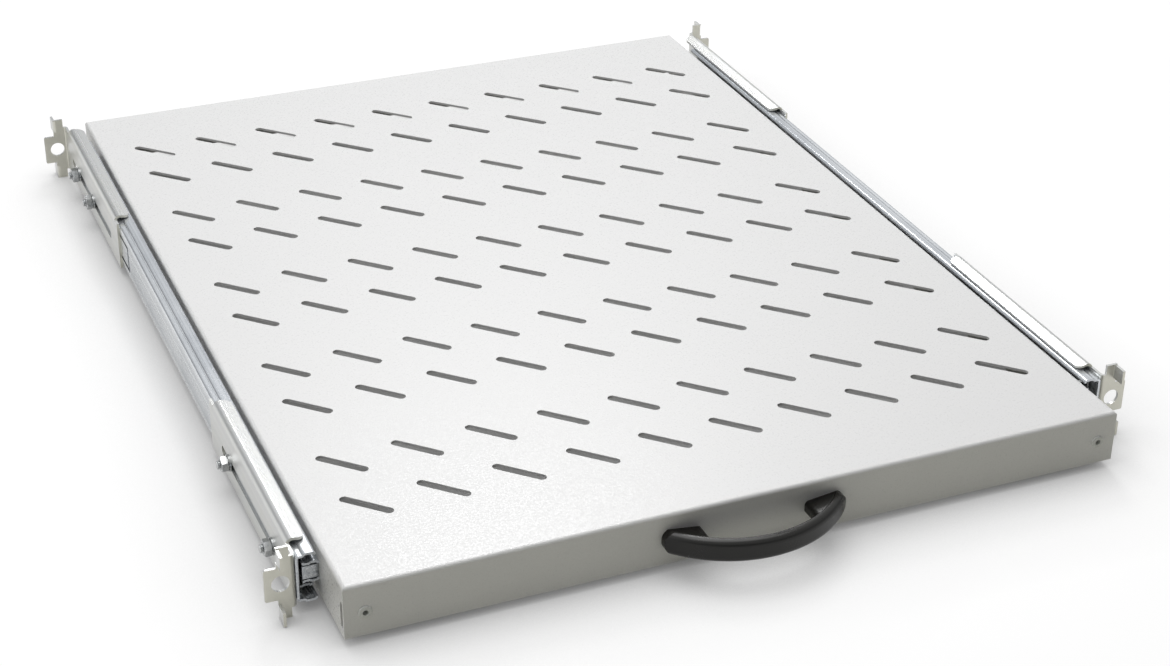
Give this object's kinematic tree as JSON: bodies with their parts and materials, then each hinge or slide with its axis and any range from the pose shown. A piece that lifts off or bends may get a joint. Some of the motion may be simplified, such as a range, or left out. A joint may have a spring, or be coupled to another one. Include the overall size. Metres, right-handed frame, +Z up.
{
  "type": "sliding rack shelf",
  "caption": "Slotted rack shelf that pulls out on telescopic ball slides, with a front bow handle and hooked, length-adjustable brackets for the posts of a standard rack.",
  "frame": {"origin": "midway between the two front bolt holes, on the front face of the front bracket flanges", "axes": "+X to the right seen from the front, +Y from the front posts to the rear posts, +Z up"},
  "size_m": [0.481, 0.595, 0.0408],
  "materials": {
    "tray_coat": "light grey powder coat with a fine texture",
    "rivet_metal": "coated with the tray",
    "handle_plastic": "satin black moulding",
    "slide_zinc": "bright zinc plate with rolling streaks",
    "bracket_zinc": "bright zinc plate",
    "cage_steel": "thin plated strip",
    "ball_steel": "polished",
    "buffer_rubber": "matte",
    "fastener_steel": "bright zinc plate"
  },
  "bodies": {
    "rack_mounting": {"left_outer_rail": "slide_zinc", "front_left_bracket": "bracket_zinc", "rear_left_bracket": "bracket_zinc", "left_bracket_studs": "fastener_steel", "left_bracket_washers": "fastener_steel", "left_bracket_nuts": "fastener_steel", "left_rear_buffer": "buffer_rubber", "right_outer_rail": "slide_zinc", "front_right_bracket": "bracket_zinc", "rear_right_bracket": "bracket_zinc", "right_bracket_studs": "fastener_steel", "right_bracket_washers": "fastener_steel", "right_bracket_nuts": "fastener_steel", "right_rear_buffer": "buffer_rubber"},
    "sliding_shelf": {"shelf_tray": "tray_coat", "pull_handle": "handle_plastic", "handle_screws": "fastener_steel", "corner_rivets": "rivet_metal", "left_inner_rail": "slide_zinc", "left_shelf_screws": "fastener_steel", "left_shelf_nuts": "fastener_steel", "right_inner_rail": "slide_zinc", "right_shelf_screws": "fastener_steel", "right_shelf_nuts": "fastener_steel"},
    "left_mid_member": {"left_mid_rail": "slide_zinc"},
    "left_outer_ball_cage": {"left_outer_cage": "cage_steel", "left_outer_balls": "ball_steel"},
    "left_inner_ball_cage": {"left_inner_cage": "cage_steel", "left_inner_balls": "ball_steel"},
    "right_mid_member": {"right_mid_rail": "slide_zinc"},
    "right_outer_ball_cage": {"right_outer_cage": "cage_steel", "right_outer_balls": "ball_steel"},
    "right_inner_ball_cage": {"right_inner_cage": "cage_steel", "right_inner_balls": "ball_steel"}
  },
  "joints": [
    {"name": "shelf_slide", "type": "slide", "parent": "rack_mounting", "child": "sliding_shelf", "axis": [0, -1, 0], "range_m": [0, 0.5]},
    {"name": "left_mid_member_slide", "type": "slide", "parent": "rack_mounting", "child": "left_mid_member", "axis": [0, -1, 0], "range_m": [0, 0.25]},
    {"name": "left_outer_ball_cage_slide", "type": "slide", "parent": "rack_mounting", "child": "left_outer_ball_cage", "axis": [0, -1, 0], "range_m": [0, 0.125]},
    {"name": "left_inner_ball_cage_slide", "type": "slide", "parent": "rack_mounting", "child": "left_inner_ball_cage", "axis": [0, -1, 0], "range_m": [0, 0.375]},
    {"name": "right_mid_member_slide", "type": "slide", "parent": "rack_mounting", "child": "right_mid_member", "axis": [0, -1, 0], "range_m": [0, 0.25]},
    {"name": "right_outer_ball_cage_slide", "type": "slide", "parent": "rack_mounting", "child": "right_outer_ball_cage", "axis": [0, -1, 0], "range_m": [0, 0.125]},
    {"name": "right_inner_ball_cage_slide", "type": "slide", "parent": "rack_mounting", "child": "right_inner_ball_cage", "axis": [0, -1, 0], "range_m": [0, 0.375]}
  ],
  "couplings": [
    {"joint": "left_mid_member_slide", "follows": "shelf_slide", "ratio": 0.5},
    {"joint": "left_outer_ball_cage_slide", "follows": "shelf_slide", "ratio": 0.25},
    {"joint": "left_inner_ball_cage_slide", "follows": "shelf_slide", "ratio": 0.75},
    {"joint": "right_mid_member_slide", "follows": "shelf_slide", "ratio": 0.5},
    {"joint": "right_outer_ball_cage_slide", "follows": "shelf_slide", "ratio": 0.25},
    {"joint": "right_inner_ball_cage_slide", "follows": "shelf_slide", "ratio": 0.75}
  ]
}
